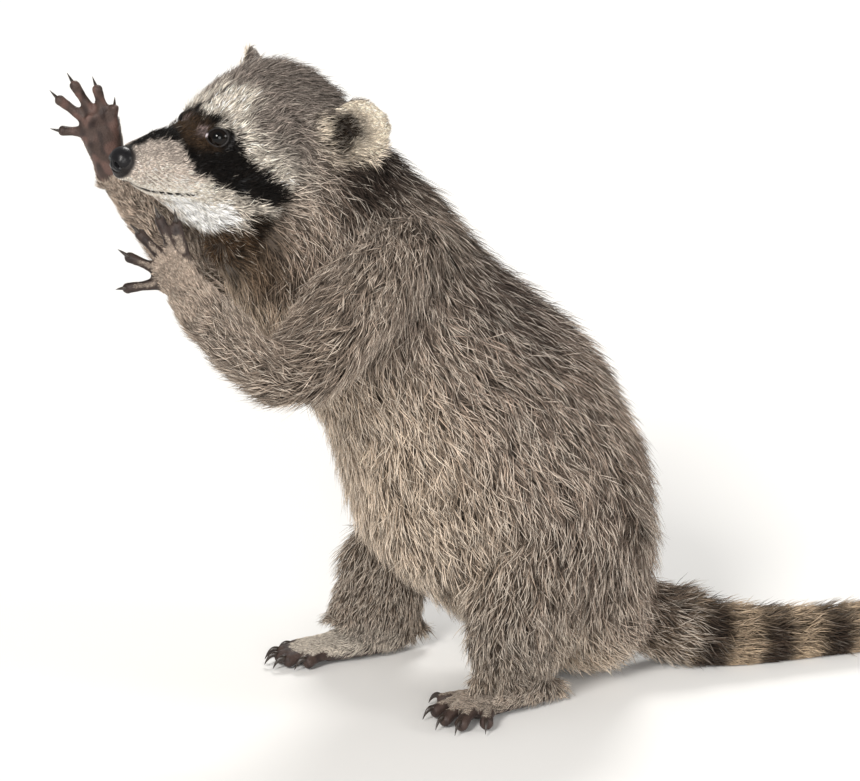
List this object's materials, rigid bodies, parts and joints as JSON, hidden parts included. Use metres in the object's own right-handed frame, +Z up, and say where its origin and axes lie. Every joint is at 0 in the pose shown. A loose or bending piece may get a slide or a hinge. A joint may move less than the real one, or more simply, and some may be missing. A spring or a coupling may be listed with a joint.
{
  "type": "raccoon",
  "caption": "Raccoon standing on its hind feet and reaching forward with both hands, ringed tail on the floor, as a still life-size model.",
  "frame": {"origin": "on the floor, under the middle of the box round the whole animal", "axes": "+Z up, -Y the way the animal faces, +X to its left side"},
  "size_m": [0.2054, 0.601, 0.3941],
  "materials": {
    "coat": "grizzled grey-brown fur with pale tips, black mask and dark tail rings",
    "bare_skin": "dark bare skin of hands and feet, matt with fine creases",
    "nose": "moist black nose leather with a fine pebble grain",
    "eye": "very dark brown glossy eye",
    "claw": "dark horn, satin",
    "whisker": "pale stiff whiskers"
  },
  "bodies": {
    "root": {"head": "coat", "ear_l": "coat", "ear_r": "coat", "eye_l": "eye", "eye_r": "eye", "nose": "nose", "neck": "coat", "trunk": "coat", "tail_base": "coat", "tail_middle": "coat", "tail_end": "coat", "tail_tip": "coat", "upper_arm_l": "coat", "forearm_l": "coat", "hand_l": "bare_skin", "upper_arm_r": "coat", "forearm_r": "coat", "hand_r": "bare_skin", "thigh_l": "coat", "shank_l": "coat", "foot_l": "bare_skin", "thigh_r": "coat", "shank_r": "coat", "foot_r": "bare_skin"}
  },
  "joints": []
}
